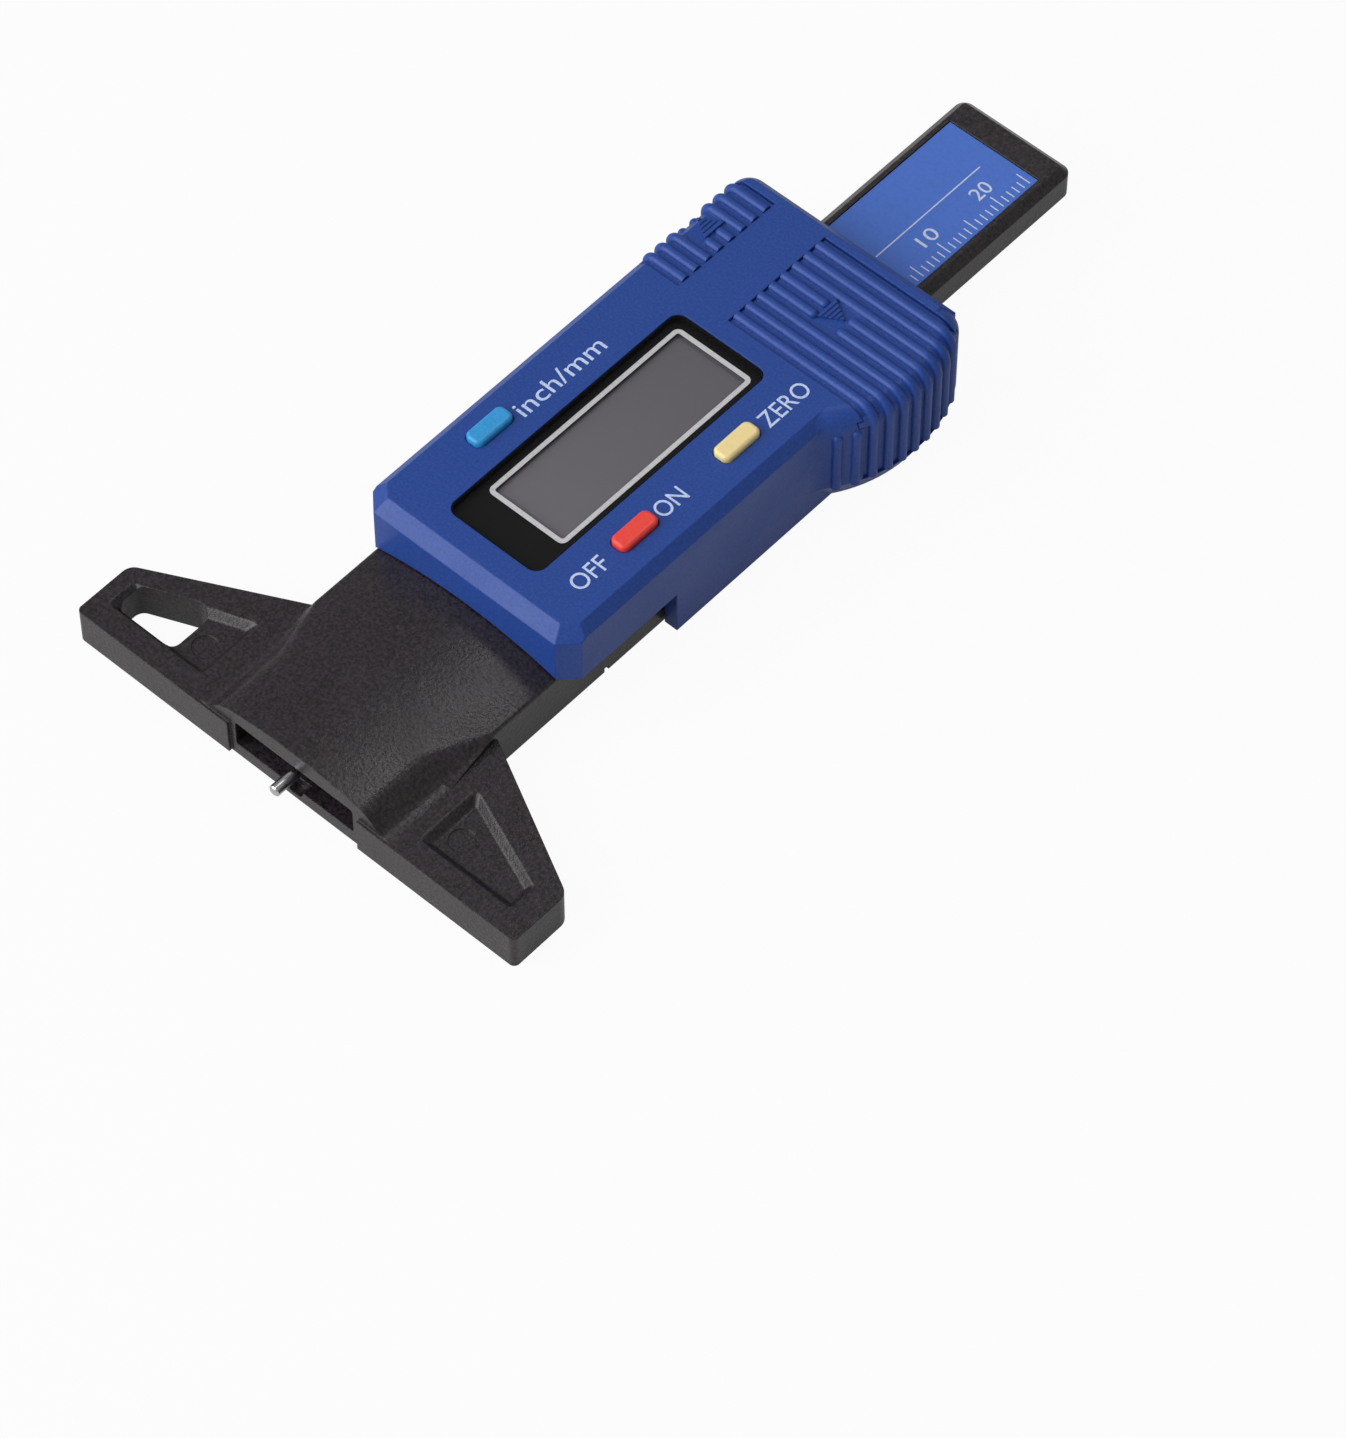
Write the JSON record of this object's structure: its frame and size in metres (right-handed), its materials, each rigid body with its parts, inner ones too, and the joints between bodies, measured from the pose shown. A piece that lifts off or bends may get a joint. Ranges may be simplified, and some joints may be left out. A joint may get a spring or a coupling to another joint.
{
  "type": "digital tread depth gauge",
  "caption": "Hand gauge that reads tread depth: tee-shaped measuring frame, sliding display unit with buttons, probe pin and ribbed cell and port covers.",
  "frame": {"origin": "middle of the measuring plane on the underside, with the gauge on its back", "axes": "+Y from the measuring feet to the tail of the beam, +X to the thumb bulge, +Z out of the display face"},
  "size_m": [0.07, 0.1322, 0.0162],
  "materials": {
    "black_moulding": "fine moulded texture",
    "blue_moulding": "satin",
    "dark_window": "polished",
    "display_glass": "polished",
    "board_laminate": "satin",
    "chip_plastic": "matte",
    "label_film": "satin",
    "connector_rubber": "matte",
    "ground_steel": "ground",
    "spring_steel": "rolled",
    "plated_steel": "plated",
    "contact_brass": "plated",
    "units_plastic": "satin",
    "zero_plastic": "satin",
    "power_plastic": "satin"
  },
  "bodies": {
    "frame": {"tee_frame": "black_moulding", "scale_strip": "board_laminate", "scale_label": "label_film"},
    "slider": {"front_housing": "blue_moulding", "rear_cover": "blue_moulding", "display_window": "dark_window", "lcd_panel": "display_glass", "lcd_holder": "black_moulding", "zebra_strips": "connector_rubber", "main_board": "board_laminate", "sensor_board": "board_laminate", "controller_chip": "chip_plastic", "crystal": "plated_steel", "capacitors": "chip_plastic", "switch_domes": "chip_plastic", "port_contacts": "contact_brass", "coin_cell": "plated_steel", "battery_contact_negative": "spring_steel", "battery_contact_positive": "spring_steel", "friction_spring": "spring_steel", "housing_screws": "plated_steel", "board_screws": "plated_steel", "carrier_screws": "plated_steel", "probe_carriage": "black_moulding", "carrier_strip": "spring_steel", "carrier_rivets": "plated_steel", "probe_pin": "ground_steel"},
    "units_button": {"units_button": "units_plastic"},
    "zero_button": {"zero_button": "zero_plastic"},
    "power_button": {"power_button": "power_plastic"},
    "battery_cover": {"battery_cover": "blue_moulding"},
    "port_cover": {"port_cover": "blue_moulding"}
  },
  "joints": [
    {"name": "slider_travel", "type": "slide", "parent": "frame", "child": "slider", "axis": [0, 1, 0], "range_m": [-0.0225, 0.0029]},
    {"name": "units_press", "type": "slide", "parent": "slider", "child": "units_button", "axis": [0, 0, -1], "range_m": [0, 0.0005], "stiffness_N_per_m": 1500},
    {"name": "zero_press", "type": "slide", "parent": "slider", "child": "zero_button", "axis": [0, 0, -1], "range_m": [0, 0.0005], "stiffness_N_per_m": 1500},
    {"name": "power_press", "type": "slide", "parent": "slider", "child": "power_button", "axis": [0, 0, -1], "range_m": [0, 0.0005], "stiffness_N_per_m": 1500},
    {"name": "battery_cover_slide", "type": "slide", "parent": "slider", "child": "battery_cover", "axis": [1, 0, 0], "range_m": [0, 0.02]},
    {"name": "port_cover_slide", "type": "slide", "parent": "slider", "child": "port_cover", "axis": [-1, 0, 0], "range_m": [0, 0.006]}
  ]
}
